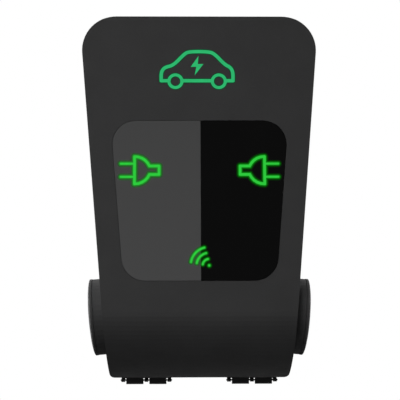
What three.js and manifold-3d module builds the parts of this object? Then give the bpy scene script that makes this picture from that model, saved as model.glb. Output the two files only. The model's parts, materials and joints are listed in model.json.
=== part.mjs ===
// Twin-outlet charging station head for electric vehicles, to hang on a wall or on a post.
// Millimetres. +X is the viewer's right, +Y points into the wall, +Z is up.
// The origin is the middle of the wall bracket's rear face, so the wall is the plane y = 0.
//
// A rear tub carries two rows of rail-mounted electrics, a control board and two socket outlets
// that look out sideways from a round belly. A front cover with a leaning face closes the tub and
// folds forward and down on two hinges under the belly.

import * as THREE from "three";
import { mergeVertices } from "three/addons/utils/BufferGeometryUtils.js";
import Module from "manifold-3d";

const wasm = await Module();
wasm.setup();

// ---------------------------------------------------------------- driving dimensions

const TOP = 187; // height of the top above the origin
const BOTTOM = -184; // the belly's lowest line
const HALF_WIDTH = 106.15; // half of the width at z = 0
const TAPER = 0.086; // half-width gained per millimetre of height
const TOP_CORNER = 35; // radius of the two upper corners
const LOW_CORNER = 7.5; // radius of the two lower corners
const BELLY = 63; // radius of the round belly
const LEAN = THREE.MathUtils.degToRad(9); // how far the front face leans back
const SPLIT = -98; // plane between cover and tub, through the outlets' axis
const SEAM = 0.4; // half of the gap between cover and tub
const WALL = 3; // casing wall
const FACE_WALL = 4; // the cover's front wall
const BACK = -3.3; // outer face of the tub's rear wall
const BACK_WALL = 3.5;
const GAP = 0.3; // between pieces that touch

const BELLY_Z = BOTTOM + BELLY; // height of the belly's and the outlets' axis
const TILT = Math.atan(TAPER); // the side walls' slope, which tips the outlets down
const INSIDE = BACK - BACK_WALL; // inner face of the tub's rear wall

const OUTLET_R = 39; // collar of an outlet
const MOUTH_R = 28.5; // hole that takes the plug
const CAVITY = 40; // depth of that hole behind the wall
const FLAT = 21.5; // height of the flat over the plug's D shape
const LID_OUT = 13.4; // how far the lid's rim stands out
const LID_DOME = 4; // how much the lid's middle rises above its rim

const BLACK = 0x2b2b2b;

const halfWidth = (z) => HALF_WIDTH + TAPER * z;

// y of the leaning face at height z, inset by t behind it
const tangentZ = BELLY_Z + BELLY * Math.sin(LEAN);
const tangentY = SPLIT - BELLY * Math.cos(LEAN);
const faceY = (z, t = 0) => tangentY + (z - tangentZ) * Math.tan(LEAN) + t / Math.cos(LEAN);

// ---------------------------------------------------------------- materials

const finish = (color, roughness, metalness = 0) =>
  new THREE.MeshStandardMaterial({ color, roughness, metalness });

const casingPlastic = finish(BLACK, 0.55);
const outletPlastic = finish(0x262626, 0.5);
const darkGlass = finish(0x0c0c0c, 0.08);
const litGuide = finish(0x2fbf4a, 0.3);
const modulePlastic = finish(0xd8d8d4, 0.45);
const leverPlastic = finish(0x20262c, 0.4);
const buttonPlastic = finish(0xd9a520, 0.4);
const boardGreen = finish(0x1f5a35, 0.5);
const carrierPlastic = finish(0x3a3d40, 0.6);
const rubber = finish(0x161616, 0.85);
const zincSteel = finish(0xb4b8bb, 0.35, 1);
const springSteel = finish(0x8d9296, 0.3, 1);
const brass = finish(0xb89b4e, 0.3, 1);
const terminalPlastic = finish(0x7f8a90, 0.5);
const cableSheath = finish(0x1c1c1e, 0.6);

// ---------------------------------------------------------------- helpers

// A closed three.js geometry as a solid for joining and cutting.
function solid(geometry) {
  const bare = geometry.clone();
  bare.deleteAttribute("normal");
  bare.deleteAttribute("uv");
  const merged = mergeVertices(bare, 1e-4);
  return new wasm.Manifold(
    new wasm.Mesh({
      numProp: 3,
      vertProperties: merged.attributes.position.array,
      triVerts: new Uint32Array(merged.index.array),
    }),
  );
}

function geometryOf(body) {
  const mesh = body.getMesh();
  return new THREE.BufferGeometry()
    .setAttribute("position", new THREE.BufferAttribute(mesh.vertProperties, 3))
    .setIndex(new THREE.BufferAttribute(mesh.triVerts, 1));
}

const join = (first, ...rest) => rest.reduce((sum, next) => sum.add(next), first);
const cut = (first, ...rest) => rest.reduce((sum, next) => sum.subtract(next), first);

// A named mesh from a solid or a geometry.
function piece(name, shape, material) {
  const geometry = shape.isBufferGeometry ? shape : geometryOf(shape);
  const mesh = new THREE.Mesh(geometry, material);
  mesh.name = name;
  return mesh;
}

function box(x0, x1, y0, y1, z0, z1) {
  return solid(
    new THREE.BoxGeometry(x1 - x0, y1 - y0, z1 - z0).translate(
      (x0 + x1) / 2,
      (y0 + y1) / 2,
      (z0 + z1) / 2,
    ),
  );
}

// A cylinder from one point to another.
function rod(from, to, radius, sides = 24) {
  const a = new THREE.Vector3(...from);
  const b = new THREE.Vector3(...to);
  const turn = new THREE.Quaternion().setFromUnitVectors(
    new THREE.Vector3(0, 1, 0),
    b.clone().sub(a).normalize(),
  );
  const middle = a.clone().add(b).multiplyScalar(0.5);
  return solid(
    new THREE.CylinderGeometry(radius, radius, a.distanceTo(b), sides)
      .applyQuaternion(turn)
      .translate(middle.x, middle.y, middle.z),
  );
}

const extrude = (shape, depth, arcSteps) =>
  new THREE.ExtrudeGeometry(shape, { depth, bevelEnabled: false, curveSegments: arcSteps });

// A shape drawn in x and z, from y0 to y1.
const alongY = (shape, y0, y1, arcSteps = 6) =>
  solid(extrude(shape, y1 - y0, arcSteps).rotateX(Math.PI / 2).translate(0, y1, 0));

// A shape drawn in y and z, from x0 to x1.
function alongX(shape, x0, x1, arcSteps = 6) {
  const axes = new THREE.Matrix4().makeBasis(
    new THREE.Vector3(0, 1, 0),
    new THREE.Vector3(0, 0, 1),
    new THREE.Vector3(1, 0, 0),
  );
  return solid(extrude(shape, x1 - x0, arcSteps).applyMatrix4(axes).translate(x0, 0, 0));
}

// A closed outline through corners [a, b, radius], counter-clockwise, each rounded by an arc.
function rounded(corners) {
  const shape = new THREE.Shape();
  corners.forEach(([a, b, radius], i) => {
    const corner = new THREE.Vector2(a, b);
    const before = new THREE.Vector2(...corners.at(i - 1)).sub(corner).normalize();
    const after = new THREE.Vector2(...corners[(i + 1) % corners.length]).sub(corner).normalize();
    if (!radius) {
      if (i) shape.lineTo(a, b);
      else shape.moveTo(a, b);
      return;
    }
    const half = Math.acos(THREE.MathUtils.clamp(before.dot(after), -1, 1)) / 2;
    const inwards = before.clone().add(after).normalize();
    const centre = inwards.multiplyScalar(radius / Math.sin(half)).add(corner);
    const reach = radius / Math.tan(half);
    const start = before.multiplyScalar(reach).add(corner).sub(centre);
    const end = after.multiplyScalar(reach).add(corner).sub(centre);
    shape.absarc(centre.x, centre.y, radius, start.angle(), end.angle(), false);
  });
  shape.closePath();
  return shape;
}

const rectangle = (a0, a1, b0, b1, radius = 0) =>
  rounded([[a0, b0, radius], [a1, b0, radius], [a1, b1, radius], [a0, b1, radius]]);

// ---------------------------------------------------------------- casing outlines

// The body's front outline in x and z, moved inwards by t.
function bodyOutline(t = 0) {
  const side = (z) => halfWidth(z) - t / Math.cos(TILT);
  const low = BOTTOM + t;
  const high = TOP - t;
  return rounded([
    [-side(low), low, Math.max(LOW_CORNER - t, 1)],
    [side(low), low, Math.max(LOW_CORNER - t, 1)],
    [side(high), high, TOP_CORNER - t],
    [-side(high), high, TOP_CORNER - t],
  ]);
}

// The cover's side outline in y and z: leaning face, round belly and flat top. It runs on past the
// split plane, where the outline across the body ends it.
function coverProfile(wall, faceWall) {
  const radius = BELLY - wall;
  const rear = SPLIT + 3;
  const lean = faceWall - wall; // extra thickness of the leaning wall
  const high = TOP - wall;
  const angle = Math.PI - LEAN;
  const shape = new THREE.Shape();
  shape.moveTo(rear, BELLY_Z - radius);
  shape.lineTo(rear, high);
  shape.lineTo(faceY(high, faceWall) + 2, high);
  shape.lineTo(faceY(high - 4, faceWall), high - 4);
  shape.lineTo(
    SPLIT + radius * Math.cos(angle) + lean * Math.cos(LEAN),
    BELLY_Z + radius * Math.sin(angle) - lean * Math.sin(LEAN),
  );
  shape.absarc(SPLIT, BELLY_Z, radius, angle, 1.5 * Math.PI, false);
  shape.closePath();
  return shape;
}

// Both outlets' axes as one cutting tool: a rod through each side wall.
function outletCutters(radius, from, to) {
  const out = new THREE.Vector3(Math.cos(TILT), 0, -Math.sin(TILT));
  const at = (side, a) => [
    side * (halfWidth(BELLY_Z) + a * out.x),
    SPLIT,
    BELLY_Z + a * out.z,
  ];
  return [-1, 1].map((side) => rod(at(side, from), at(side, to), radius, 48));
}

// ---------------------------------------------------------------- wall bracket and tub

const SCREW_X = 60; // cover screws, each side of the middle
const SCREW_Y = -103.5;

function wallBracket() {
  const plate = alongY(rectangle(-75, 75, -100, 100, 8), -3, 0, 3);
  const slots = [-1, 1].flatMap((side) =>
    [-82, 82].map((z) => alongY(rectangle(side * 55 - 8, side * 55 + 8, z - 3, z + 3, 2.9), -4, 1, 2)),
  );
  return cut(plate, ...slots);
}

// The two lugs inside the tub's top that take the cover screws.
function screwLug(side) {
  const x0 = side * SCREW_X - 5;
  const x1 = side * SCREW_X + 5;
  const lug = join(
    box(x0, x1, SPLIT + SEAM, -85, TOP - 15, TOP - 1),
    box(x0, x1, -108, SPLIT + SEAM + 1, TOP - 15, TOP - 5.8),
  );
  const at = (z) => [side * SCREW_X, SCREW_Y, z];
  return cut(lug, rod(at(TOP - 19), at(TOP - 2), 2.3, 16));
}

const GROMMETS = [
  ["supply_grommet", 0, 19],
  ["data_grommet_left", -42, 11],
  ["data_grommet_right", 42, 11],
]; // name, x, radius
const GROMMET_Y = -34;

function rearHousing() {
  const rim = SPLIT + SEAM;
  const tub = cut(alongY(bodyOutline(), rim, BACK, 8), alongY(bodyOutline(WALL), rim - 1, INSIDE, 8));
  const holes = GROMMETS.map(([, x, radius]) =>
    rod([x, GROMMET_Y, BOTTOM - 1], [x, GROMMET_Y, BOTTOM + WALL + 1], radius - 2, 16),
  );
  return cut(
    join(tub, screwLug(-1), screwLug(1)),
    ...outletCutters(OUTLET_R + 0.6, -20, 5),
    ...holes,
  );
}

function grommet(x, radius) {
  const profile = [
    [0, -8], [radius - 7, -8], [radius - 5, -2], [radius, -1.5], [radius, -GAP],
    [radius - 2 - GAP, -GAP], [radius - 2 - GAP, WALL + GAP], [radius, WALL + GAP],
    [radius - 1, WALL + 2.5], [radius - 5, WALL + 2.5], [radius - 7, 0.5], [0, 0.5],
  ].map(([r, h]) => new THREE.Vector2(r, h));
  return new THREE.LatheGeometry(profile, 16).rotateX(Math.PI / 2).translate(x, GROMMET_Y, BOTTOM);
}

function coverScrew(side) {
  const at = (z) => [side * SCREW_X, SCREW_Y, z];
  const head = rod(at(TOP - 2.5), at(TOP - 0.2), 4, 20);
  const socket = rod(at(TOP - 1.7), at(TOP + 1), 1.8, 6);
  return cut(join(rod(at(TOP - 18), at(TOP - 2), 1.9, 16), head), socket);
}

// ---------------------------------------------------------------- cover

const HINGE_X = 54.6; // middle of each cover hinge
const HINGE_Z = -187.2;
const COVER_KNUCKLE_R = 2.7;
const KNUCKLE_DROP = 1.5; // the cover's knuckles hang this much below the hinge axis
const LEAF_KNUCKLE_R = 1.9;
const HINGE_PITCH = 23.8; // from one narrow knuckle to the next
const WIDE_KNUCKLE = 17.6;
const NARROW_KNUCKLE = 3.8;
const HINGE_PIN_R = 0.9;

const WINDOW_LOW = -82; // along the leaning face, from the point at z = 0
const WINDOW_HIGH = 80.3;
const WINDOW_BORDER = 23; // face between window and side
const WINDOW_CORNER = 24;

// The window's outline on the face, moved inwards by t.
function windowOutline(t) {
  const half = (v) => halfWidth(v * Math.cos(LEAN)) - WINDOW_BORDER - t;
  const radius = WINDOW_CORNER - t;
  const low = WINDOW_LOW + t;
  const high = WINDOW_HIGH - t;
  return rounded([
    [-half(low), low, radius], [half(low), low, radius],
    [half(high), high, radius], [-half(high), high, radius],
  ]);
}

// Puts a solid drawn on the face (y = 0 is the face, +y is inwards) where the face is.
const onFace = (body) =>
  solid(geometryOf(body).rotateX(-LEAN).translate(0, faceY(0), 0));

function coverKnuckles(side) {
  return [-0.5, 0.5].map((place) => {
    const x = side * HINGE_X + place * HINGE_PITCH;
    const x0 = x - WIDE_KNUCKLE / 2;
    const x1 = x + WIDE_KNUCKLE / 2;
    const foot = HINGE_Z - KNUCKLE_DROP;
    const cheek = COVER_KNUCKLE_R - 0.05;
    return join(
      rod([x0, SPLIT, HINGE_Z], [x1, SPLIT, HINGE_Z], COVER_KNUCKLE_R, 20),
      rod([x0, SPLIT, foot], [x1, SPLIT, foot], COVER_KNUCKLE_R, 20),
      box(x0, x1, SPLIT - cheek, SPLIT + cheek, foot, HINGE_Z),
      box(x0, x1, SPLIT - 5, SPLIT - SEAM, HINGE_Z, BOTTOM + 1.5),
    );
  });
}

function screwBoss(side) {
  return box(side * SCREW_X - 8, side * SCREW_X + 8, -112, SPLIT - SEAM, TOP - 5.5, TOP - 1);
}

function screwSlots(side) {
  const x = side * SCREW_X;
  return [
    box(x - 5, x + 5, -108.5, SPLIT, TOP - 2.8, TOP + 1),
    box(x - 2.4, x + 2.4, -106, SPLIT, TOP - 13, TOP),
  ];
}

function frontCover() {
  const rear = SPLIT - SEAM;
  const wide = HALF_WIDTH + 40;
  const deep = SPLIT - BELLY - 1;
  const outer = alongX(coverProfile(0, 0), -wide, wide, 12).intersect(
    alongY(bodyOutline(), deep, rear, 8),
  );
  const inner = alongX(coverProfile(WALL, FACE_WALL), -wide, wide, 12).intersect(
    alongY(bodyOutline(WALL), deep, rear + 2, 8),
  );
  const sides = [-1, 1];
  const pocket = onFace(alongY(windowOutline(0), -5, 2, 6));
  const opening = onFace(alongY(windowOutline(4), -5, 8, 6));
  return cut(
    join(cut(outer, inner), ...sides.map(screwBoss), ...sides.flatMap(coverKnuckles)),
    ...sides.flatMap(screwSlots),
    pocket,
    opening,
    ...outletCutters(OUTLET_R + 0.6, -20, 5),
    rod([-90, SPLIT, HINGE_Z], [90, SPLIT, HINGE_Z], HINGE_PIN_R + 0.2, 12),
  );
}

const displayWindow = () => onFace(alongY(windowOutline(0.35), 0, 1.7, 6));

// Edge-lit guide behind the vehicle symbol: a thin plate with a foot that reaches the board's lamps.
function vehicleLightGuide() {
  const profile = rounded([
    [4.4, 84, 0], [15, 84, 0], [15, 89, 0], [7.4, 92, 0], [7.4, 156, 0], [4.4, 156, 0],
  ]);
  return onFace(alongX(profile, -42, 42));
}

const symbolGuide = (x, v, width, height, depth) =>
  onFace(alongY(rectangle(x - width / 2, x + width / 2, v - height / 2, v + height / 2, 3), 2.1, depth, 2));

// The seal lies in the cover's rim, from one outlet up over the top to the other.
function coverSeal() {
  const ring = cut(
    alongY(bodyOutline(0.8), SPLIT - 0.25, SPLIT + 0.25, 8),
    alongY(bodyOutline(2.4), SPLIT - 1, SPLIT + 1, 8),
  );
  const below = box(-130, 130, SPLIT - 2, SPLIT + 2, BOTTOM - 5, BELLY_Z + OUTLET_R + 4);
  const slots = [-1, 1].map((side) =>
    box(side * SCREW_X - 8.5, side * SCREW_X + 8.5, SPLIT - 2, SPLIT + 2, TOP - 13, TOP - 1),
  );
  return cut(ring, below, ...slots);
}

// ---------------------------------------------------------------- cover hinges

function hingeLeaf(side) {
  const x = side * HINGE_X;
  const reach = HINGE_PITCH + NARROW_KNUCKLE / 2;
  const leaf = box(x - reach, x + reach, SPLIT + 4.8, SPLIT + 28, BOTTOM - 2, BOTTOM - GAP);
  const knuckles = [-1, 0, 1].map((place) => {
    const x0 = x + place * HINGE_PITCH - NARROW_KNUCKLE / 2;
    const x1 = x0 + NARROW_KNUCKLE;
    return join(
      rod([x0, SPLIT, HINGE_Z], [x1, SPLIT, HINGE_Z], LEAF_KNUCKLE_R, 16),
      box(x0, x1, SPLIT, SPLIT + 5.6, HINGE_Z - 1, BOTTOM - 1),
    );
  });
  return cut(
    join(leaf, ...knuckles),
    rod([x - 30, SPLIT, HINGE_Z], [x + 30, SPLIT, HINGE_Z], HINGE_PIN_R + 0.2, 12),
  );
}

function hingePin(side) {
  const reach = HINGE_PITCH + NARROW_KNUCKLE / 2 + 0.8;
  const at = (x) => [side * HINGE_X + x, SPLIT, HINGE_Z];
  return rod(at(-reach), at(reach), HINGE_PIN_R, 12);
}

// ---------------------------------------------------------------- rail-mounted electrics

const RAIL_FRONT = -14.6;

// Top-hat rail, open towards the wall, along x.
function dinRail(z, half) {
  const rear = INSIDE - GAP;
  const lip = RAIL_FRONT + 1; // rear face of the rail's two edges
  const profile = rounded([
    [rear, z + 13.5, 0], [lip, z + 13.5, 0], [lip, z + 17.5, 0], [RAIL_FRONT, z + 17.5, 0],
    [RAIL_FRONT, z + 12.5, 0], [rear - 1, z + 12.5, 0], [rear - 1, z - 12.5, 0],
    [RAIL_FRONT, z - 12.5, 0], [RAIL_FRONT, z - 17.5, 0], [lip, z - 17.5, 0],
    [lip, z - 13.5, 0], [rear, z - 13.5, 0],
  ]);
  return alongX(profile, -half, half);
}

const MODULE = 42.5; // half height of a rail module
const NOSE = 22.5; // half height of the part that a panel cut-out would show
const NOSE_Y = -73;
const SHOULDER_Y = -58;

// A rail module's side outline: feet round the rail, body, and nose.
function moduleProfile(z) {
  const rear = -10;
  const seat = RAIL_FRONT - GAP;
  return rounded([
    [rear, z - MODULE, 0], [rear, z - 18.2, 0], [seat, z - 18.2, 0], [seat, z + 18.2, 0],
    [rear, z + 18.2, 0], [rear, z + MODULE, 0], [SHOULDER_Y, z + MODULE, 0], [SHOULDER_Y, z + NOSE, 0],
    [NOSE_Y, z + NOSE, 0], [NOSE_Y, z - NOSE, 0], [SHOULDER_Y, z - NOSE, 0], [SHOULDER_Y, z - MODULE, 0],
  ]);
}

const railModule = (x0, x1, z) => alongX(moduleProfile(z), x0, x1);

const UPPER_ROW = 112; // breakers
const LOWER_ROW = 8; // contactors, meters and power supply
const BREAKER_X = 38; // middle of each breaker
const LEVER_Y = -68; // axis of a breaker's lever
const LEVER_REST = THREE.MathUtils.degToRad(35);
const BUTTON_X = 22; // test button, from the breaker's middle
const BUTTON_Z = UPPER_ROW + 10;
const CONTACTOR_X = 73.5;

function breaker(side) {
  const x = side * BREAKER_X;
  const button = (radius, from, to) =>
    rod([x + BUTTON_X, from, BUTTON_Z], [x + BUTTON_X, to, BUTTON_Z], radius, 16);
  return cut(
    railModule(x - 36, x + 36, UPPER_ROW),
    box(x - 8, x + 8, NOSE_Y - 1, -60, UPPER_ROW - 11, UPPER_ROW + 11),
    button(3.4, NOSE_Y - 1, -64),
  );
}

function breakerLever(side) {
  const x = side * BREAKER_X;
  const handle = rounded([[-15, -2, 1], [-15, 2, 1], [0, 3, 0], [0, -3, 0]].reverse());
  const turned = geometryOf(alongX(handle, -7, 7, 2)).rotateX(-LEVER_REST);
  return join(
    rod([x - 7, LEVER_Y, UPPER_ROW], [x + 7, LEVER_Y, UPPER_ROW], 4.6, 20),
    solid(turned.translate(x, LEVER_Y, UPPER_ROW)),
  );
}

function testButton(side) {
  const x = side * BREAKER_X + BUTTON_X;
  return rod([x, -76, BUTTON_Z], [x, -68, BUTTON_Z], 3, 16);
}

function contactor(side) {
  const x = side * CONTACTOR_X;
  return cut(
    railModule(x - 22.5, x + 22.5, LOWER_ROW),
    box(x - 6, x + 6, NOSE_Y - 1, -62, LOWER_ROW - 4, LOWER_ROW + 4),
  );
}

function contactorSlide(side) {
  const x = side * CONTACTOR_X;
  return box(x - 5.5, x + 5.5, -75, -66, LOWER_ROW - 3.5, LOWER_ROW + 3.5);
}

function terminalBlock() {
  const rear = INSIDE - GAP;
  const profile = rounded([
    [rear, -64, 0], [rear, -106, 0], [-38, -106, 0], [-38, -97, 0], [-46, -92, 0],
    [-46, -78, 0], [-38, -73, 0], [-38, -64, 0],
  ].reverse());
  const screws = [-2, -1, 0, 1, 2].map((i) => rod([i * 16, -50, -85], [i * 16, -38, -85], 4, 12));
  return cut(alongX(profile, -41, 41), ...screws);
}

function earthBar() {
  const bar = box(-40, 40, -22, -12, -134, -122);
  const feet = [-1, 1].map((side) => box(side * 34 - 5, side * 34 + 5, -13, INSIDE - GAP, -132, -124));
  const screws = [-2, -1, 0, 1, 2].map((i) => rod([i * 14, -26, -128], [i * 14, -21, -128], 4, 10));
  return join(bar, ...feet, ...screws);
}

// ---------------------------------------------------------------- control board

const CARRIER = 22; // depth of the carrier plate behind the face
const BOARD = 18;

function boardCarrier() {
  const plate = onFace(alongY(rectangle(-80, 80, -74, 94, 4), CARRIER, CARRIER + 2.5, 2));
  const vents = [-38, 38].flatMap((x) =>
    [-36, 0, 36].map((v) => onFace(box(x - 22, x + 22, CARRIER - 1, CARRIER + 4, v - 8, v + 8))),
  );
  const legs = [-1, 1].flatMap((side) =>
    [[70, 59.5], [50, -48]].map(([x, z]) =>
      box(side * x - 4, side * x + 4, faceY(z, CARRIER + 1), INSIDE - GAP, z - 4, z + 4),
    ),
  );
  return join(cut(plate, ...vents), ...legs);
}

// [x, width, v, height, how far it stands in front of the board]
const BOARD_PARTS = [
  [-52, 30, -48, 22, 7], [52, 30, -48, 22, 7], [0, 24, 6, 24, 3], [-26, 12, -20, 30, 5],
  [26, 12, -20, 30, 5], [0, 40, 52, 12, 6], [-60, 14, 58, 8, 4], [60, 14, 58, 8, 4], [0, 76, 86, 4, 2],
  [-59.5, 30, 29.5, 20, 2], [59.5, 30, 29.5, 20, 2],
];

function controlBoard() {
  const board = onFace(alongY(rectangle(-76, 76, -70, 90, 3), BOARD, BOARD + 1.6, 2));
  const parts = BOARD_PARTS.map(([x, width, v, height, deep]) =>
    onFace(
      box(x - width / 2, x + width / 2, BOARD - deep, BOARD + 0.5, v - height / 2, v + height / 2),
    ),
  );
  const feet = [-1, 1].flatMap((side) =>
    [-64, 84].map((v) => onFace(rod([side * 70, BOARD + 1, v], [side * 70, CARRIER - GAP, v], 3, 10))),
  );
  return join(board, ...parts, ...feet);
}

function tagReader() {
  return onFace(
    join(
      box(-22, 22, 10, 11.6, -74, -40),
      box(-20, -16, 11, BOARD - GAP, -68, -46),
      box(16, 20, 11, BOARD - GAP, -68, -46),
    ),
  );
}

// ---------------------------------------------------------------- socket outlets
// Drawn for the right side: x is outwards along the outlet's axis from the wall's outer face,
// y is the row's y measured from the axis, z is up. Collar, lid, pin and spring are drawn with the
// lid's hinge on top, and the assembly turns them so that the hinge is on the wall side.

const OUTLET_SIDES = 48;
const LID_HINGE_Z = 35.8;
const LID_HINGE_X = 12.7;
const COLLAR_OUT = 11; // outer face of the collar
const LID_KNUCKLE_R = 2.5;
const LID_KNUCKLE_HALF = 9;
const LID_PIN_R = 0.9;
const LID_IN = 11.4; // inner face of the lid

// A disc or ring about the outlet's axis from profile points [radius, x].
function turned(profile, sides = OUTLET_SIDES) {
  const points = profile.map(([r, x]) => new THREE.Vector2(r, x));
  return solid(new THREE.LatheGeometry(points, sides).rotateZ(-Math.PI / 2));
}

// A rod on the lid hinge's axis.
const lidHingeRod = (y0, y1, radius, sides) =>
  rod([LID_HINGE_X, y0, LID_HINGE_Z], [LID_HINGE_X, y1, LID_HINGE_Z], radius, sides);

// The plug's D: a circle with a flat on top.
const underFlat = (body, flat) => cut(body, box(-100, 50, -60, 60, flat, 80));

function outletCollar() {
  const flange = OUTLET_R + 4; // behind the casing wall
  const ring = turned([
    [MOUTH_R, -7.5], [flange, -7.5], [flange, -3.6], [OUTLET_R, -3.6],
    [OUTLET_R, COLLAR_OUT], [MOUTH_R, COLLAR_OUT], [MOUTH_R, -7.5],
  ]);
  const webs = [-1, 1].map((side) => {
    const y0 = side > 0 ? LID_KNUCKLE_HALF + 0.4 : -15;
    const y1 = side > 0 ? 15 : -LID_KNUCKLE_HALF - 0.4;
    return join(
      box(COLLAR_OUT - 1.4, LID_HINGE_X, y0, y1, LID_HINGE_Z - 1.2, LID_HINGE_Z + 0.8),
      lidHingeRod(y0, y1, LID_KNUCKLE_R - 0.3, 16),
    );
  });
  const axle = lidHingeRod(-16, 16, LID_PIN_R + 0.2, 12);
  const room = LID_KNUCKLE_HALF + 0.4;
  return cut(join(ring, ...webs), axle, lidHingeRod(-room, room, LID_KNUCKLE_R + 0.5, 20));
}

function outletLid() {
  const rim = OUTLET_R + 0.3;
  const half = LID_KNUCKLE_HALF;
  // The outer face is half a flat ellipsoid: steep at the rim, level in the middle.
  const dome = [0, 2, 5, 9, 15, 24, 36, 52, 70].map((angle) => {
    const turn = THREE.MathUtils.degToRad(angle);
    return [rim * Math.cos(turn), LID_OUT + LID_DOME * Math.sin(turn)];
  });
  const disc = turned([[0, LID_IN], [rim, LID_IN], ...dome, [0, LID_OUT + LID_DOME]]);
  const shoulder = box(0, 30, -45, 45, LID_HINGE_Z - 3.2, 60);
  const neck = box(LID_IN + 0.6, LID_OUT - 0.4, -half, half, LID_HINGE_Z - 4, LID_HINGE_Z - 0.5);
  const knuckle = lidHingeRod(-half, half, LID_KNUCKLE_R, 20);
  const axle = lidHingeRod(-16, 16, LID_PIN_R + 0.2, 12);
  const springRoom = lidHingeRod(1, half + 1, 2, 16);
  return cut(join(cut(disc, shoulder), neck, knuckle), axle, springRoom);
}

const lidPin = () => lidHingeRod(-14.6, 14.6, LID_PIN_R, 12);

// A coil round the lid's pin.
function lidSpring() {
  const turns = 4;
  const radius = 1.55;
  class Coil extends THREE.Curve {
    getPoint(t, target = new THREE.Vector3()) {
      const angle = t * 2 * Math.PI * turns;
      const across = LID_HINGE_X + radius * Math.cos(angle);
      return target.set(across, 2 + t * 5.6, LID_HINGE_Z + radius * Math.sin(angle));
    }
  }
  const wire = new THREE.Shape().absarc(0, 0, 0.28, 0, 2 * Math.PI, false);
  return new THREE.ExtrudeGeometry(wire, { steps: 36, curveSegments: 2, extrudePath: new Coil() });
}

const BODY_R = 34;
const PIN_X = -18; // lock pin, from the wall's outer face

// The tube round the cavity, open at both ends.
function outletBody() {
  const rear = -CAVITY + GAP;
  const tube = turned([[0, rear], [BODY_R, rear], [BODY_R, -7.9], [0, -7.9]], 32);
  const bore = turned([[0, rear - 1], [MOUTH_R, rear - 1], [MOUTH_R, 5], [0, 5]], 32);
  return cut(tube, underFlat(bore, FLAT), rod([PIN_X, 0, 15], [PIN_X, 0, 40], 3, 16));
}

// The cap that closes the tube's rear, carries the contacts and takes the loom.
function terminalCap() {
  const rear = -CAVITY - 14;
  const shell = turned(
    [[0, rear], [BODY_R - 6, rear], [BODY_R, -CAVITY - 4], [BODY_R, -CAVITY], [0, -CAVITY]],
    32,
  );
  return cut(shell, rod([rear - 1, 0, 0], [rear + 5, 0, 0], 9, 20));
}

const BLOCK_FRONT = -11;
const BLOCK_R = 22;
// [y, z, radius] of the sleeves: protective earth in the middle, four power, two signal
const SLEEVES = [
  [0, 0, 3.3], [-13.4, 0, 3.3], [13.4, 0, 3.3], [-7, -12.6, 3.3], [7, -12.6, 3.3],
  [-6.6, 10.4, 1.8], [6.6, 10.4, 1.8],
];

function contactBlock() {
  const rear = -CAVITY + GAP;
  const island = turned(
    [[0, rear], [BLOCK_R, rear], [BLOCK_R, BLOCK_FRONT - 1], [BLOCK_R - 1, BLOCK_FRONT], [0, BLOCK_FRONT]],
    32,
  );
  const holes = SLEEVES.map(([y, z, radius]) =>
    rod([BLOCK_FRONT - 24, y, z], [BLOCK_FRONT + 1, y, z], radius, 12),
  );
  return cut(underFlat(island, FLAT - 6.5), ...holes);
}

function lockActuator() {
  const floor = BODY_R + GAP;
  const seat = rod([-60, 0, 0], [0, 0, 0], floor, 40);
  const housing = join(
    box(-46, -9, -13, 13, 28, floor + 12),
    box(-46, -30, -18, 18, 28, floor + 9),
  );
  return cut(housing, seat, rod([PIN_X, 0, 20], [PIN_X, 0, floor + 9], 2.9, 16));
}

const lockPin = () => rod([PIN_X, 0, FLAT + 1], [PIN_X, 0, BODY_R + 8], 2.5, 16);

// A saddle behind each outlet that carries it from the tub's rear wall.
function outletSaddle() {
  const block = box(-50, -14, 20, SPLIT * -1 + INSIDE - GAP, -16, 16);
  const seat = rod([-70, 0, 0], [0, 0, 0], BODY_R + GAP, 40);
  const hollow = box(-44, -20, 42, 100, -17, 17);
  return cut(block, seat, hollow);
}

// The loom from the contactor down to the outlet's rear, in the row's frame, for the right side.
function outletLoom() {
  const route = new THREE.CatmullRomCurve3(
    [
      [74, -44, -35.2], [74, -44, -44], [72, -46, -56], [60, -54, -68], [42, -66, -78],
      [28, -80, -88], [20, -92, -100], [18, -98, -112], [22, -98, -118.5], [30, -98, -118.6],
      [37.5, -98, -118.2],
    ].map((p) => new THREE.Vector3(...p)),
    false,
    "centripetal",
  );
  const section = new THREE.Shape().absarc(0, 0, 5.5, 0, 2 * Math.PI, false);
  return new THREE.ExtrudeGeometry(section, { steps: 18, curveSegments: 4, extrudePath: route });
}

// ---------------------------------------------------------------- assembly

const station = new THREE.Group();

station.add(
  piece("wall_bracket", wallBracket(), zincSteel),
  piece("rear_housing", rearHousing(), casingPlastic),
  piece("front_cover", frontCover(), casingPlastic),
  piece("display_window", displayWindow(), darkGlass),
  piece("vehicle_light_guide", vehicleLightGuide(), litGuide),
  piece("left_plug_light_guide", symbolGuide(-57.3, 29.5, 42.5, 36, 13), litGuide),
  piece("right_plug_light_guide", symbolGuide(57.3, 29.5, 42.5, 36, 13), litGuide),
  piece("tag_light_guide", symbolGuide(0, -57, 28, 26, 8.5), litGuide),
  piece("cover_seal", coverSeal(), rubber),
  piece("upper_din_rail", dinRail(UPPER_ROW, 85), zincSteel),
  piece("lower_din_rail", dinRail(LOWER_ROW, 97), zincSteel),
  piece("energy_meter_left", railModule(-50, -14.5, LOWER_ROW), modulePlastic),
  piece("energy_meter_right", railModule(14.5, 50, LOWER_ROW), modulePlastic),
  piece("power_supply", railModule(-13.5, 13.5, LOWER_ROW), carrierPlastic),
  piece("supply_terminal_block", terminalBlock(), terminalPlastic),
  piece("earth_bar", earthBar(), brass),
  piece("board_carrier", boardCarrier(), carrierPlastic),
  piece("control_board", controlBoard(), boardGreen),
  piece("tag_reader", tagReader(), boardGreen),
);

for (const [name, x, radius] of GROMMETS) station.add(piece(name, grommet(x, radius), rubber));

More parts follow.
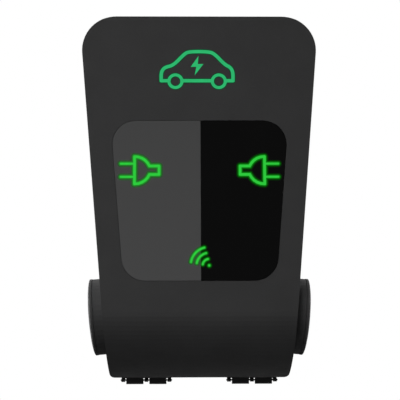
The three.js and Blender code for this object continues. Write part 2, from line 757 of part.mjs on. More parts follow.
for (const [label, side] of [["left", -1], ["right", 1]]) {
  station.add(
    piece(`cover_screw_${label}`, coverScrew(side), zincSteel),
    piece(`hinge_leaf_${label}`, hingeLeaf(side), outletPlastic),
    piece(`hinge_pin_${label}`, hingePin(side), zincSteel),
    piece(`breaker_${label}`, breaker(side), modulePlastic),
    piece(`breaker_lever_${label}`, breakerLever(side), leverPlastic),
    piece(`test_button_${label}`, testButton(side), buttonPlastic),
    piece(`contactor_${label}`, contactor(side), modulePlastic),
    piece(`contactor_slide_${label}`, contactorSlide(side), leverPlastic),
  );

  const mirrored = new THREE.Group();
  mirrored.scale.x = side;
  mirrored.add(piece(`outlet_loom_${label}`, outletLoom(), cableSheath));

  const outlet = new THREE.Group();
  outlet.position.set(halfWidth(BELLY_Z), SPLIT, BELLY_Z);
  outlet.rotation.y = TILT;
  const hinged = new THREE.Group();
  hinged.rotation.x = -Math.PI / 2;
  hinged.add(
    piece(`outlet_collar_${label}`, outletCollar(), outletPlastic),
    piece(`outlet_lid_${label}`, outletLid(), outletPlastic),
    piece(`lid_pin_${label}`, lidPin(), zincSteel),
    piece(`lid_spring_${label}`, lidSpring(), springSteel),
  );
  outlet.add(
    hinged,
    piece(`outlet_body_${label}`, outletBody(), outletPlastic),
    piece(`terminal_cap_${label}`, terminalCap(), carrierPlastic),
    piece(`contact_block_${label}`, contactBlock(), outletPlastic),
    piece(`outlet_saddle_${label}`, outletSaddle(), carrierPlastic),
    piece(`lock_actuator_${label}`, lockActuator(), carrierPlastic),
    piece(`lock_pin_${label}`, lockPin(), zincSteel),
  );
  mirrored.add(outlet);
  station.add(mirrored);
}

export default station;
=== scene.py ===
"""Looks of the charging station head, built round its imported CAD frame. Metres, in the row frame."""
import json
import math

import bmesh
import bpy
from mathutils import Euler, Matrix, Vector
from mathutils.geometry import delaunay_2d_cdt


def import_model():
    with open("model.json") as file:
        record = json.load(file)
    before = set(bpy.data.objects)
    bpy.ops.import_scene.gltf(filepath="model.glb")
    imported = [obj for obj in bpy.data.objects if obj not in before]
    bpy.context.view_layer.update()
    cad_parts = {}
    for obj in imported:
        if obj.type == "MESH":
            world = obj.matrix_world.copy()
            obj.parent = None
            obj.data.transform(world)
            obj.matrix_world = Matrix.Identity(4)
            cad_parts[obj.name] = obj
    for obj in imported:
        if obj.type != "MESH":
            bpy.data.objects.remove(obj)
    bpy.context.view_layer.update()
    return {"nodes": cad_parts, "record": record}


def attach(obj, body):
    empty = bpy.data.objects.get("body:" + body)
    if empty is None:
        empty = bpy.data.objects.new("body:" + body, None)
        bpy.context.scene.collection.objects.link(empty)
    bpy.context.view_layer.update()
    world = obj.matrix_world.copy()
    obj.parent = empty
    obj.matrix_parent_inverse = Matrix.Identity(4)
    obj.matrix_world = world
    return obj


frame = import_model()
NODES = frame["nodes"]
MM = 0.001

# ------------------------------------------------------------ the object's own dimensions
LEAN = math.radians(9)
FACE_Y = -142.62 * MM  # the leaning face at z = 0
SPLIT_X = 1.0 * MM  # where the painted reflection on the window's left half meets its black right half
SPLIT_BLUR = 0.4 * MM  # over which the painted reflection fades into the black
WINDOW_MIDDLE = -0.85  # halfway into the window, in millimetres out of the leaning face

BOARD_DEPTH = 18  # the control board's front, behind the leaning face, in millimetres
OUTWARDS = Vector((0, -math.cos(LEAN), math.sin(LEAN)))  # out of the leaning face
UPWARDS = (0, math.sin(LEAN), math.cos(LEAN))  # up it
TILT = math.atan(0.086)  # how far the outlets tip down
OUTLET_AXIS = (95.744, -98.0, -121.0)  # where the right outlet's axis leaves the casing, in millimetres
SLEEVE_FOOT = -34.9  # the contact sleeves' inner ends, along the outlet's axis from that point

# Rail modules, in millimetres: where they stand, and how far forward their fronts and terminals are.
UPPER_ROW, LOWER_ROW = 112, 8  # heights of the two rails
BREAKER_X, METER_X, CONTACTOR_X = 38, 32.25, 73.5  # to either side of the middle
MODULE_FRONT, TERMINAL_FRONT, SUPPLY_TERMINAL_FRONT = -73, -58, -46

ROOM = 0.10  # brightness of the room round the object
SYMBOL_BACK = -0.2  # how deep the lit symbols' backs lie in the face, in millimetres
SHARP = math.radians(32)  # an edge that turns further than this stays sharp


def on_face(u, v, out):
    """A point on the leaning face: u across, v up the face, out in front of it. All in millimetres."""
    y = FACE_Y + v * MM * math.sin(LEAN) - out * MM * math.cos(LEAN)
    return Vector((u * MM, y, v * MM * math.cos(LEAN) + out * MM * math.sin(LEAN)))


def add_object(name, data):
    made = bpy.data.objects.new(name, data)
    bpy.context.scene.collection.objects.link(made)
    return made


def shade_smooth(piece):
    """Smooth shading with the sharp edges kept."""
    for polygon in piece.data.polygons:
        polygon.use_smooth = True
    piece.modifiers.new("smooth", "EDGE_SPLIT").split_angle = SHARP


# ------------------------------------------------------------ camera, floor and light
def make_camera():
    data = bpy.data.cameras.new("camera")
    data.lens = 109.4
    data.sensor_width = 36.0
    cam = add_object("camera", data)
    cam.location = (-20 * MM, -1356 * MM, -1 * MM)
    aim = Vector((1 * MM, -100 * MM, -1 * MM)) - cam.location
    roll = Euler((0, 0, math.radians(-0.06))).to_quaternion()
    cam.rotation_euler = (aim.to_track_quat("-Z", "Y") @ roll).to_euler()
    bpy.context.scene.camera = cam


def area_light(name, location, target, width, height, power, spread):
    data = bpy.data.lights.new(name, "AREA")
    data.spread = math.radians(spread)
    data.shape, data.size, data.size_y, data.energy = "RECTANGLE", width, height, power
    lamp = add_object(name, data)
    lamp.location = location
    lamp.rotation_euler = (Vector(target) - Vector(location)).to_track_quat("-Z", "Y").to_euler()


def split_by_ray(tree, lighting, seen, output):
    """What lights the object goes by one shader, and what the camera itself sees by another."""
    rays, mix = tree.nodes.new("ShaderNodeLightPath"), tree.nodes.new("ShaderNodeMixShader")
    tree.links.new(rays.outputs["Is Camera Ray"], mix.inputs["Fac"])
    tree.links.new(lighting, mix.inputs[1])
    tree.links.new(seen, mix.inputs[2])
    tree.links.new(mix.outputs["Shader"], tree.nodes[output].inputs["Surface"])


def make_world():
    """A dim white room lights the object, and a white sweep shows behind it."""
    world = bpy.data.worlds.new("studio")
    bpy.context.scene.world = world
    world.use_nodes = True
    tree = world.node_tree
    room = tree.nodes["Background"]
    room.inputs["Color"].default_value = (1, 1, 1, 1)
    room.inputs["Strength"].default_value = ROOM
    sweep = add(tree, "ShaderNodeBackground", Color=(1, 1, 1, 1))
    split_by_ray(tree, room.outputs["Background"], sweep.outputs["Background"], "World Output")
    bpy.context.scene.view_settings.view_transform = "Standard"


def make_floor():
    """A pale floor far below the head."""
    mesh = bpy.data.meshes.new("floor")
    half, front, rear, height = 1.2, -1.3, 1.1, -1.4
    corners = [(-half, front, height), (half, front, height), (half, rear, height), (-half, rear, height)]
    mesh.from_pydata(corners, [], [(0, 1, 2, 3)])
    floor = add_object("floor", mesh)
    tree, shader = new_material("floor_paint")
    shader.inputs["Base Color"].default_value = (0.86, 0.86, 0.86, 1)
    shader.inputs["Roughness"].default_value = 0.9
    pale = add(tree, "ShaderNodeEmission", Color=(1, 1, 1, 1), Strength=0.80)
    split_by_ray(tree, shader.outputs["BSDF"], pale.outputs["Emission"], "Material Output")
    mesh.materials.append(bpy.data.materials["floor_paint"])


def make_lamps():
    area_light("key", (-0.62, -2.8, 2.5), (0, -0.1, -0.5), 1.0, 1.0, 2.15, 25)
    for side, flank_power in ((-1, 5.5), (1, 2.5)):
        area_light("rim", (side * 1.9, 1.7, 1.3), (0, 0, 0), 1.2, 1.2, 3.0, 25)
        area_light("flank", (side * 2.4, -0.15, 0.5), (0, -0.1, 0), 1.0, 1.4, flank_power, 50)


# ------------------------------------------------------------ materials
def new_material(name):
    material = bpy.data.materials.new(name)
    material.use_nodes = True
    return material.node_tree, material.node_tree.nodes["Principled BSDF"]


def add(tree, kind, **sockets):
    node = tree.nodes.new(kind)
    for key, value in sockets.items():
        node.inputs[key.replace("_", " ")].default_value = value
    return node


def coords(tree, stretch=(1, 1, 1)):
    """The row frame's own coordinates, in metres."""
    source = tree.nodes.new("ShaderNodeTexCoord")
    mapping = add(tree, "ShaderNodeMapping", Scale=stretch)
    tree.links.new(source.outputs["Object"], mapping.inputs["Vector"])
    return mapping.outputs["Vector"]


def noise(tree, vector, scale, detail=3.0, roughness=0.55):
    node = add(tree, "ShaderNodeTexNoise", Scale=scale, Detail=detail, Roughness=roughness)
    tree.links.new(vector, node.inputs["Vector"])
    return node.outputs["Fac"]


def ramp(tree, value, stops):
    """Colours or greys placed along a value."""
    node = tree.nodes.new("ShaderNodeValToRGB")
    while len(node.color_ramp.elements) < len(stops):
        node.color_ramp.elements.new(0.5)
    for element, (position, colour) in zip(node.color_ramp.elements, stops):
        element.position = position
        element.color = (*colour, 1) if isinstance(colour, tuple) else (colour, colour, colour, 1)
    tree.links.new(value, node.inputs["Fac"])
    return node.outputs["Color"]


def bump(tree, shader, height, distance, strength):
    node = add(tree, "ShaderNodeBump", Distance=distance, Strength=strength)
    tree.links.new(height, node.inputs["Height"])
    tree.links.new(node.outputs["Normal"], shader.inputs["Normal"])


def shades(colour, spread):
    """The colour a little darker and a little lighter."""
    return (
        tuple(c * (1 - spread) for c in colour),
        tuple(min(1, c * (1 + spread)) for c in colour),
    )


def grained(
    name, colour, rough, grain=1500.0, depth=0.00012, spread=0.12, specular=0.3, stretch=(1, 1, 1), metal=0.0,
):
    """Moulded plastic, rubber or metal: fine grain, cloudy colour and uneven gloss."""
    tree, shader = new_material(name)
    vector = coords(tree, stretch)
    cloud = noise(tree, vector, 28.0, 4.0)
    fine = noise(tree, vector, grain, 2.0, 0.6)
    dark, light = shades(colour, spread)
    tree.links.new(ramp(tree, cloud, [(0.3, dark), (0.7, light)]), shader.inputs["Base Color"])
    tree.links.new(
        ramp(tree, fine, [(0.3, max(rough - 0.08, 0.02)), (0.7, min(rough + 0.08, 1.0))]),
        shader.inputs["Roughness"],
    )
    shader.inputs["Specular IOR Level"].default_value = specular
    shader.inputs["Metallic"].default_value = metal
    bump(tree, shader, fine, depth, 0.35)
    return bpy.data.materials[name]


def painted_reflection_halves(tree, vector, left, right):
    """One colour left of the window's split and another right of it; the left one carries the painted
    reflection.
    """
    split = tree.nodes.new("ShaderNodeSeparateXYZ")
    tree.links.new(vector, split.inputs["Vector"])
    shift = tree.nodes.new("ShaderNodeMath")
    shift.operation = "MULTIPLY_ADD"
    shift.inputs[1].default_value = 1 / SPLIT_BLUR
    shift.inputs[2].default_value = 0.5 - SPLIT_X / SPLIT_BLUR
    shift.use_clamp = True
    tree.links.new(split.outputs["X"], shift.inputs[0])
    return ramp(tree, shift.outputs[0], [(0.0, left), (1.0, right)])


def before(tree, vector, out):
    """1 in front of the plane that lies this many millimetres out of the leaning face, and 0 behind it."""
    height = tree.nodes.new("ShaderNodeVectorMath")
    height.operation = "DOT_PRODUCT"
    height.inputs[1].default_value = OUTWARDS
    tree.links.new(vector, height.inputs[0])
    raised = tree.nodes.new("ShaderNodeMath")
    raised.operation = "GREATER_THAN"
    raised.inputs[1].default_value = on_face(0, 0, out).dot(OUTWARDS)
    tree.links.new(height.outputs["Value"], raised.inputs[0])
    return raised.outputs[0]


def mixed(tree, factor, low, high):
    """The low colour where the factor is 0, and the high one where it is 1."""
    mix = tree.nodes.new("ShaderNodeMix")
    mix.data_type = "RGBA"
    tree.links.new(factor, mix.inputs["Factor"])
    # The node's colour sockets share their names with its other sockets, so they go by number.
    for socket, value in ((mix.inputs[6], low), (mix.inputs[7], high)):
        if isinstance(value, tuple):
            socket.default_value = value
        else:
            tree.links.new(value, socket)
    return mix.outputs[2]


def window_material():
    """Window: a lighter left half, which is a painted reflection, and a black right half under a clear gloss
    face, with matt ink behind.
    """
    tree, shader = new_material("window_print")
    vector = coords(tree)
    # The grey left half is a painted reflection of the bright room; the black right half is the window's own
    # tone.
    reflected_grey, black = (0.100, 0.100, 0.1005), (0.0034, 0.0034, 0.0034)
    front = before(tree, vector, WINDOW_MIDDLE)
    ink, ink_roughness = (0.012, 0.012, 0.012, 1), (0.7, 0.7, 0.7, 1)
    tree.links.new(mixed(tree, front, ink, painted_reflection_halves(tree, vector, reflected_grey, black)), shader.inputs["Base Color"])
    smudge = ramp(tree, noise(tree, vector, 14.0, 5.0), [(0.35, 0.07), (0.75, 0.16)])
    tree.links.new(mixed(tree, front, ink_roughness, smudge), shader.inputs["Roughness"])
    shader.inputs["Specular IOR Level"].default_value = 0.25
    bump(tree, shader, noise(tree, vector, 60.0, 1.0), 0.0001, 0.02)
    return bpy.data.materials["window_print"]


def shining(tree, shader, colours, ground):
    """A surface that gives off the colours and hardly answers to other light."""
    tree.links.new(colours, shader.inputs["Emission Color"])
    shader.inputs["Emission Strength"].default_value = 1.0
    shader.inputs["Base Color"].default_value = (*ground, 1)
    shader.inputs["Specular IOR Level"].default_value = 0.0
    shader.inputs["Roughness"].default_value = 0.4


def lit_material(name, colour):
    """A lit symbol, faintly uneven."""
    tree, shader = new_material(name)
    dark, light = shades(colour, 0.06)
    colours = ramp(tree, noise(tree, coords(tree), 180.0, 2.0), [(0.3, dark), (0.7, light)])
    shining(tree, shader, colours, [c * 0.02 for c in colour])
    return bpy.data.materials[name]


def halo_material(name, left, right):
    """Light spreading in the plastic round a lit symbol, lighter on the window's left half, where the painted
    reflection lies.
    """
    tree, shader = new_material(name)
    shining(tree, shader, painted_reflection_halves(tree, coords(tree), left, right), (0.001, 0.002, 0.001))
    return bpy.data.materials[name]


def board_material():
    """Solder mask over faint tracks, with dark bodies on what stands in front of the board."""
    tree, shader = new_material("solder_mask")
    vector = coords(tree)
    tracks = add(tree, "ShaderNodeTexVoronoi", Scale=260.0)
    tracks.distance = "MANHATTAN"
    tree.links.new(vector, tracks.inputs["Vector"])
    track, bare = (0.010, 0.075, 0.03), (0.018, 0.12, 0.045)
    mask = ramp(tree, tracks.outputs["Distance"], [(0.30, track), (0.42, bare)])
    raised = before(tree, vector, 0.25 - BOARD_DEPTH)
    bodies = ramp(tree, noise(tree, vector, 90.0), [(0.3, 0.018), (0.7, 0.030)])
    tree.links.new(mixed(tree, raised, mask, bodies), shader.inputs["Base Color"])
    shader.inputs["Roughness"].default_value = 0.4
    bump(tree, shader, tracks.outputs["Distance"], 0.0001, 0.4)
    return bpy.data.materials["solder_mask"]


def make_finishes():
    """One material for each of the record's slots."""
    steel = dict(metal=1.0, specular=0.5, depth=0.00006)
    return {
        "casing": grained("casing_plastic", (0.0225, 0.0225, 0.0228), 0.66, specular=0.5),
        "window": window_material(),
        "guide": grained("guide_acrylic", (0.36, 0.43, 0.39), 0.55, grain=300.0, spread=0.06),
        "outlet": grained("outlet_plastic", (0.0395, 0.0395, 0.040), 0.78, grain=1900.0, specular=0.45),
        "rubber": grained("rubber", (0.010, 0.010, 0.010), 0.85, grain=900.0, depth=0.0002),
        "steel": grained("zinc_steel", (0.45, 0.46, 0.47), 0.36, stretch=(0.15, 1, 1), **steel),
        "spring": grained("spring_wire", (0.34, 0.35, 0.37), 0.3, **steel),
        "module": grained("module_plastic", (0.62, 0.62, 0.60), 0.45, spread=0.04),
        "lever": grained("lever_plastic", (0.014, 0.018, 0.022), 0.4),
        "button": grained("button_plastic", (0.65, 0.35, 0.02), 0.35, spread=0.06),
        "carrier": grained("carrier_plastic", (0.045, 0.050, 0.055), 0.6),
        "board": board_material(),
        "terminal": grained("terminal_plastic", (0.20, 0.24, 0.26), 0.5),
        "brass": grained("brass", (0.55, 0.40, 0.14), 0.3, stretch=(0.2, 1, 1), **steel),
        "sheath": grained("cable_sheath", (0.015, 0.015, 0.016), 0.6, grain=700.0, depth=0.0002),
    }


def assign_materials():
    for part in frame["record"]["subparts"]:
        node = NODES[part["node"]]
        node.data.materials.clear()
        node.data.materials.append(FINISHES[part["material_slot"]])


def soften_edges():
    """Small moulded radii on the CAD pieces that show."""
    radii = {
        "front_cover": 1.1, "rear_housing": 0.7, "display_window": 0.25, "wall_bracket": 0.4,
        "outlet_collar_left": 0.15, "outlet_collar_right": 0.15,
        "outlet_lid_left": 0.35, "outlet_lid_right": 0.35,
        "hinge_leaf_left": 0.3, "hinge_leaf_right": 0.3,
    }
    for name, radius in radii.items():
        node = NODES[name]
        flat = node.modifiers.new("flat", "DECIMATE")
        flat.decimate_type, flat.angle_limit = "DISSOLVE", math.radians(0.5)
        edge = node.modifiers.new("edge", "BEVEL")
        edge.width, edge.segments, edge.limit_method = radius * MM, 2, "ANGLE"
        edge.angle_limit, edge.use_clamp_overlap = math.radians(35), True
    for node in NODES.values():
        shade_smooth(node)


# ------------------------------------------------------------ lit symbols
def arc(cx, cy, radius, start, end, steps):
    """Points on a circle, angles in degrees."""
    angles = [math.radians(start + (end - start) * i / steps) for i in range(steps + 1)]
    return [(cx + radius * math.cos(a), cy + radius * math.sin(a)) for a in angles]


def stroke_outline(path, width):
    """The outline of a stroke of one width with round ends."""
    half = width / 2
    points = [Vector(p) for p in path]
    along = []
    for i in range(len(points)):
        last = points[i] - points[max(i - 1, 0)]
        following = points[min(i + 1, len(points) - 1)] - points[i]
        along.append((last.normalized() + following.normalized()).normalized())

    def side(sign):
        out = []
        for i, (p, d) in enumerate(zip(points, along)):
            segment = (points[i] - points[i - 1]) if i else (points[1] - points[0])
            cosine = max(d.dot(segment.normalized()), 0.5)
            out.append(p + sign * Vector((-d.y, d.x)) * half / cosine)
        return out

    def cap(centre, direction):
        base = math.degrees(math.atan2(direction.y, direction.x))
        turns = [math.radians(base + a) for a in (-67, -45, -22, 0, 22, 45, 67)]
        return [centre + half * Vector((math.cos(t), math.sin(t))) for t in turns]

    right, left = side(-1), side(1)
    return right + cap(points[-1], along[-1]) + left[::-1] + cap(points[0], -along[0])


def turned_left(outline):
    """The outline run round counter-clockwise."""
    twice_area = sum(a[0] * b[1] - b[0] * a[1] for a, b in zip(outline, [*outline[1:], outline[0]]))
    return outline if twice_area > 0 else outline[::-1]


def lit_symbol(name, outlines, material, high=0.12):
    """One thin solid standing just out of the face: its outlines are united flat, then given depth."""
    points, loops = [], []
    for outline in map(turned_left, outlines):
        loops.append(list(range(len(points), len(points) + len(outline))))
        points += [Vector(p) for p in outline]
    flat, _, faces, _, _, owners = delaunay_2d_cdt(points, [], loops, 0, 1e-4)
    inside = [face for face, covering in zip(faces, owners) if covering]
    work = bmesh.new()
    used = sorted({i for face in inside for i in face})
    back = {i: work.verts.new(on_face(*flat[i], SYMBOL_BACK)) for i in used}
    front = {i: work.verts.new(on_face(*flat[i], high)) for i in used}
    sides = {(face[k - 1], face[k]) for face in inside for k in range(3)}
    for face in inside:
        work.faces.new([front[i] for i in face])
        work.faces.new([back[i] for i in reversed(face)])
    for a, b in sorted(sides):
        if (b, a) not in sides:
            work.faces.new([front[b], front[a], back[a], back[b]])
    bmesh.ops.recalc_face_normals(work, faces=work.faces)
    mesh = bpy.data.meshes.new(name)
    work.to_mesh(mesh)
    work.free()
    mesh.materials.append(material)
    symbol = add_object(name, mesh)
    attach(symbol, "cover")


def softened(path, rounds=3):
    """The path with its corners cut off, again and again."""
    for _ in range(rounds):
        cut = [path[0]]
        for (ax, ay), (bx, by) in zip(path, path[1:]):
            cut.append((0.75 * ax + 0.25 * bx, 0.75 * ay + 0.25 * by))
            cut.append((0.25 * ax + 0.75 * bx, 0.25 * ay + 0.75 * by))
        path = [*cut, path[-1]]
    return path


def vehicle_outlines(spread=0.0):
    """A plain side view of a small car, with two wheels and a charging bolt."""
    width, cx, base = 3.5 + spread, -2.2, 116.4
    body = [
        (-36.4, 6), (-36.4, 14), (-33, 19), (-24, 21), (-13, 33), (-8, 35.5), (12, 35.5), (18, 33),
        (28, 22), (34, 19), (36.4, 14), (36.4, 6),
    ]
    outlines = [stroke_outline([(cx + x, base + y) for x, y in softened(body)], width)]
    for wheel in (-22, 22):
        for start in (0, 180):
            half = arc(cx + wheel, base + 4.5, 6.6, start - 2, start + 182, 16)
            outlines.append(stroke_outline(half, width - 0.4))
    for a, b in ((-36.4, -28.6), (-15.4, 15.4), (28.6, 36.4)):
        outlines.append(stroke_outline([(cx + a, base + 5), (cx + b, base + 5)], width))
    bolt = [(1.5, 31), (-6.5, 19.5), (-0.8, 19.5), (-2.5, 10.5), (6.5, 22.5), (0.8, 22.5)]
    outlines.append([(cx + x, base + y) for x, y in bolt])
    if spread:
        outlines.append(stroke_outline([(cx + x, base + y) for x, y in [*bolt, bolt[0]]], spread))
    return outlines


def plug_outlines(side, spread=0.0):
    """A plug seen flat, its two prongs pointing away from the middle."""
    width, v = 2.75 + spread, 29.2

    def at(x, y):
        return (side * x, v + y)

    prongs = [[at(66, y), at(79, y)] for y in (6.7, -6.7)]
    shell = [at(65.2, 13.9), at(65.2, -13.9)]
    shoulder = [
        (65.2, 13.9), (61.2, 13.5), (57.6, 12.2), (54.6, 10.2), (52.2, 7.6), (50.2, 4.3), (40.6, 4.3),
    ]
    upper = [at(x, y) for x, y in shoulder]
    lower = [at(x, -y) for x, y in shoulder]
    heel = [at(40.6, 4.3), at(40.6, -4.3)]
    strokes = [stroke_outline(path, width) for path in (shell, upper, lower, heel)]
    return strokes + [stroke_outline(path, width - 0.6) for path in prongs]


def wave_outlines(spread=0.0):
    """Contactless reader sign: a dot and three arcs."""
    cx, cv = 9.2, -66.6
    dot = arc(cx, cv, 1.2 + spread / 2, 0, 345, 23)
    sweeps = ((6.5, 101, 170), (12.6, 104, 169), (18.4, 105, 169))
    return [dot] + [stroke_outline(arc(cx, cv, r, low, high, 14), 2.05 + spread) for r, low, high in sweeps]


def make_symbols():
    """Each symbol with the light that spreads round it, in steps that grow fainter outwards."""
    lit = lit_material("lit_symbol", (0.028, 0.585, 0.047))
    dim = lit_material("lit_vehicle", (0.028, 0.455, 0.150))
    # Each halo's first colour, for the window's left half, includes the painted reflection.
    near = halo_material("near_halo", (0.016, 0.215, 0.020), (0.0030, 0.170, 0.0045))
    far = halo_material("far_halo", (0.027, 0.088, 0.029), (0.0012, 0.030, 0.0012))
    rim = halo_material("vehicle_halo", (0.0085, 0.062, 0.026), (0.0085, 0.062, 0.026))
    steps = ((lit, 0.0, 0.12, ""), (near, 2.4, 0.08, "_near_halo"), (far, 4.9, 0.04, "_far_halo"))
    for material, spread, high, tail in steps:
        lit_symbol(f"left_plug_symbol{tail}", plug_outlines(-1, spread), material, high=high)
        lit_symbol(f"right_plug_symbol{tail}", plug_outlines(1, spread), material, high=high)
        lit_symbol(f"reader_symbol{tail}", wave_outlines(spread * 0.8), material, high=high)
    lit_symbol("vehicle_symbol", vehicle_outlines(), dim)
    lit_symbol("vehicle_symbol_halo", vehicle_outlines(1.8), rim, high=0.06)


# ------------------------------------------------------------ small details
def surface_frame(across, up, out, origin):
    """Turns millimetres across, up and out of a surface into metres in the row frame."""
    turn = Matrix([across, up, out]).transposed().to_4x4()
    return Matrix.Translation(Vector(origin) * MM) @ turn @ Matrix.Scale(MM, 4)


def wall_frame(y):
    """Across, up and out of a plane that faces the front at y."""
    return surface_frame((1, 0, 0), (0, 0, 1), (0, -1, 0), (0, y, 0))


def outlet_frame(side):
    """Towards the wall, up and out along one outlet's axis."""
    x, y, z = OUTLET_AXIS
    out = (side * math.cos(TILT), 0, -math.sin(TILT))
    return surface_frame((0, 1, 0), (side * math.sin(TILT), 0, math.cos(TILT)), out, (side * x, y, z))


BOARD = surface_frame((1, 0, 0), UPWARDS, OUTWARDS, on_face(0, 0, -BOARD_DEPTH) / MM)


def block(work, centre, size, radius):
    """A box with broken edges."""
    stretched = Matrix.Translation(centre) @ Matrix.Diagonal((*size, 1))
    made = bmesh.ops.create_cube(work, size=1.0, matrix=stretched)
    edges = list({edge for vert in made["verts"] for edge in vert.link_edges})
    bmesh.ops.bevel(work, geom=edges, offset=radius, segments=1, affect="EDGES")


def lathe(work, centre, profile, sides=16):
    """A form turned about the outward axis. Its [radius, height] points start and end on the axis."""
    x, v, h = centre
    turns = [2 * math.pi * k / sides for k in range(sides)]
    rings = []
    for radius, height in profile:
        if radius:
            points = [(x + radius * math.cos(a), v + radius * math.sin(a), h + height) for a in turns]
            rings.append([work.verts.new(point) for point in points])
        else:
            rings.append([work.verts.new((x, v, h + height))] * sides)
    for low, high in zip(rings, rings[1:]):
        for k in range(sides):
            work.faces.new(list(dict.fromkeys([low[k - 1], low[k], high[k], high[k - 1]])))


def slotted_screw(work, centre, radius, height=0.9):
    """A cheese head: a turned rim and two cheeks with a slot between them."""
    x, v, h = centre
    seat = height * 0.6
    lathe(work, centre, [(0, 0), (radius, 0), (radius, height * 0.5), (radius - 0.25, seat), (0, seat)])
    deep = radius * 0.42
    for cheek in (-1, 1):
        middle = (x, v + cheek * (radius * 0.16 + deep / 2), h + height * 0.75)
        block(work, middle, (radius * 1.3, deep, height * 0.5), 0.12)


def place(work, name, frame_matrix, body, slot, material=None):
    """Makes the drawn form a piece that rides on a body."""
    work.transform(frame_matrix)
    bmesh.ops.recalc_face_normals(work, faces=work.faces)
    mesh = bpy.data.meshes.new(name)
    work.to_mesh(mesh)
    work.free()
    mesh.materials.append(material or FINISHES[slot])
    piece = add_object(name, mesh)
    shade_smooth(piece)
    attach(piece, body)


def board_details():
    """What stands on the control board beyond its CAD solids."""
    legs = bmesh.new()
    for side in (-1, 1):
        for k in range(12):
            along = -9.9 + 1.8 * k
            block(legs, (along, 6 + side * 12.7, 0.35), (0.7, 1.8, 0.4), 0.08)
            block(legs, (side * 12.7, 6 + along, 0.35), (1.8, 0.7, 0.4), 0.08)
        for corner in (-1, 1):
            for k in range(4):
                block(legs, (side * 60 + 3.2 * (k - 1.5), 58 + corner * 4.6, 0.35), (0.8, 1.6, 0.4), 0.08)
    place(legs, "chip_legs", BOARD, "base", "steel")

    cans = bmesh.new()
    can = [
        (0, 0), (3.6, 0), (4, 0.4), (4, 1.2), (3.7, 1.5), (3.7, 1.8),
        (4, 2.1), (4, 8.2), (3.6, 8.6), (3.2, 8.4), (0, 8.4),
    ]
    for x, v in ((-9, -24), (9, -24), (-42, -8), (42, -8), (-42, 6), (42, 6)):
        lathe(cans, (x, v, 0.05), can, 20)
    place(cans, "capacitors", BOARD, "base", "lever")

    lids = bmesh.new()
    for side in (-1, 1):
        for v in (-27.6, -12.4):
            block(lids, (side * 26, v, 5.6), (11.2, 14.2, 1.6), 0.5)
        for k in range(5):
            block(lids, (side * 52 + 5.8 * (k - 2), -48, 7.25), (5.2, 21, 0.9), 0.25)
    block(lids, (0, 52, 6.2), (38.5, 10.5, 0.8), 0.3)
    place(lids, "relay_and_terminal_lids", BOARD, "base", "terminal")

    screws = bmesh.new()
    for side in (-1, 1):
        for k in range(5):
            slotted_screw(screws, (side * 52 + 5.8 * (k - 2), -43.5, 7.7), 1.9)
        for v in (-64, 84):
            slotted_screw(screws, (side * 70, v, 0.05), 2.8, 1.6)
    place(screws, "board_screws", BOARD, "base", "steel")

    pins = bmesh.new()
    for k in range(12):
        for row in (-1, 1):
            block(pins, (3.0 * (k - 5.5), 52 + row * 1.6, 7.4), (0.7, 0.7, 2.2), 0.15)
    place(pins, "header_pins", BOARD, "base", "brass")

    chips = bmesh.new()
    for side in (-1, 1):
        for k in range(7):
            block(chips, (side * (18 + 4.4 * k), 70, 0.4), (1.8, 1.0, 0.7), 0.12)
            block(chips, (side * (18 + 3.6 * (k % 4)), 26 + 4.5 * (k // 4), 0.4), (1.8, 1.0, 0.7), 0.12)
            block(chips, (side * (5 + 3.0 * (k % 3)), -46 - 4.2 * (k // 3), 0.5), (1.0, 1.8, 0.8), 0.12)
    place(chips, "small_chips", BOARD, "base", "carrier")

    lamps = bmesh.new()
    for side in (-1, 1):
        for column in range(4):
            x = side * 59.5 + 7.2 * (column - 1.5)
            for row in range(3):
                block(lamps, (x, 29.5 + 6 * (row - 1), 2.3), (2.8, 2.8, 0.9), 0.3)
    for k in range(9):
        block(lamps, (8 * (k - 4), 86, 2.3), (3.2, 2.6, 0.8), 0.3)
    place(lamps, "board_lamps", BOARD, "base", "guide")


# x of each rail module's terminals, by row
TERMINALS = {
    UPPER_ROW: [side * BREAKER_X + x for side in (-1, 1) for x in (-27, -9, 9, 27)],
    LOWER_ROW: [side * CONTACTOR_X + x for side in (-1, 1) for x in (-14, 0, 14)]
    + [side * METER_X + x for side in (-1, 1) for x in (-10, 10)] + [-7, 7],
}


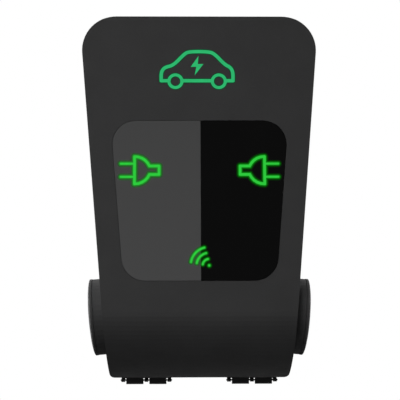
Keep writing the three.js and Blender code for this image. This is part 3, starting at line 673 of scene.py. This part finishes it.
def module_details():
    """Terminal wells and screws, meter displays, nameless plates and vents on the rail modules."""
    wells, screws = bmesh.new(), bmesh.new()
    well = [(0, 0), (4.6, 0), (4.6, 0.9), (4.2, 1.3), (3.5, 1.3), (3.2, 0.9), (3.2, 0.35), (0, 0.35)]
    for row, places in TERMINALS.items():
        for x in places:
            for v in (row - 33.5, row + 33.5):
                lathe(wells, (x, v, 0), well, 20)
                slotted_screw(screws, (x, v, 0.4), 2.6, 0.8)
    place(wells, "terminal_wells", wall_frame(TERMINAL_FRONT), "base", "carrier")
    place(screws, "terminal_screws", wall_frame(TERMINAL_FRONT), "base", "steel")

    bezels, glass, plates, vents = bmesh.new(), bmesh.new(), bmesh.new(), bmesh.new()
    for side in (-1, 1):
        x = side * METER_X
        for v in (LOWER_ROW + 15.6, LOWER_ROW + 2.4):
            block(bezels, (x, v, 0.35), (28, 1.6, 0.9), 0.2)
        for end in (-1, 1):
            block(bezels, (x + end * 13.2, LOWER_ROW + 9, 0.35), (1.6, 11.8, 0.9), 0.2)
        block(glass, (x, LOWER_ROW + 9, 0.1), (24.6, 11.4, 0.5), 0.1)
        block(plates, (x, LOWER_ROW - 10, 0.05), (26, 12, 0.35), 0.12)
        block(plates, (side * BREAKER_X - 22, UPPER_ROW, 0.05), (18, 26, 0.35), 0.12)
        block(plates, (side * CONTACTOR_X, LOWER_ROW - 14, 0.05), (34, 9, 0.35), 0.12)
    for k in range(7):
        block(vents, (0, LOWER_ROW - 15 + 3.4 * k, 0.25), (19, 1.3, 0.9), 0.3)
    front = wall_frame(MODULE_FRONT)
    meter_glass = grained("meter_glass", (0.085, 0.11, 0.075), 0.16, spread=0.1)
    place(bezels, "meter_bezels", front, "base", "carrier")
    place(glass, "meter_displays", front, "base", "window", meter_glass)
    place(plates, "blank_plates", front, "base", "terminal")
    place(vents, "supply_vents", front, "base", "lever")

    strip = bmesh.new()
    for k in range(5):
        slotted_screw(strip, (16 * (k - 2), -85, -7.9), 3.2, 1.4)
    place(strip, "supply_terminal_screws", wall_frame(SUPPLY_TERMINAL_FRONT), "base", "steel")


def outlet_details():
    """Brass sleeves in the contact holes, and a seal inside each lid."""
    power = [(0, 0), (-13.4, 0), (13.4, 0), (-7, -12.6), (7, -12.6)]
    signal = [(-6.6, 10.4), (6.6, 10.4)]
    for label, side in (("left", -1), ("right", 1)):
        frame_matrix = outlet_frame(side)
        sleeves = bmesh.new()
        for places, outer in ((power, 3.1), (signal, 1.6)):
            inner = outer - 0.55
            sleeve = [
                (0, 0), (outer, 0), (outer, 21.4), (outer - 0.25, 21.8), (inner, 21.6), (inner, 1), (0, 1),
            ]
            for across, up in places:
                lathe(sleeves, (across, up, SLEEVE_FOOT), sleeve)
        place(sleeves, f"contact_sleeves_{label}", frame_matrix, "base", "brass")
        seal = bmesh.new()
        around = [2 * math.pi * k / 48 for k in range(48)]
        section = [(33.2, 11.38), (33.2, 11.2), (33.6, 11.08), (34.8, 11.08), (35.2, 11.2), (35.2, 11.38)]
        rings = [[seal.verts.new((r * math.cos(a), r * math.sin(a), h)) for r, h in section] for a in around]
        for k in range(48):
            for i in range(len(section)):
                seal.faces.new([rings[k - 1][i - 1], rings[k - 1][i], rings[k][i], rings[k][i - 1]])
        place(seal, f"lid_seal_{label}", frame_matrix, f"lid_{label}", "rubber")


# ------------------------------------------------------------ assembly
make_camera()
make_world()
make_floor()
make_lamps()
FINISHES = make_finishes()
assign_materials()
soften_edges()
make_symbols()
board_details()
module_details()
outlet_details()
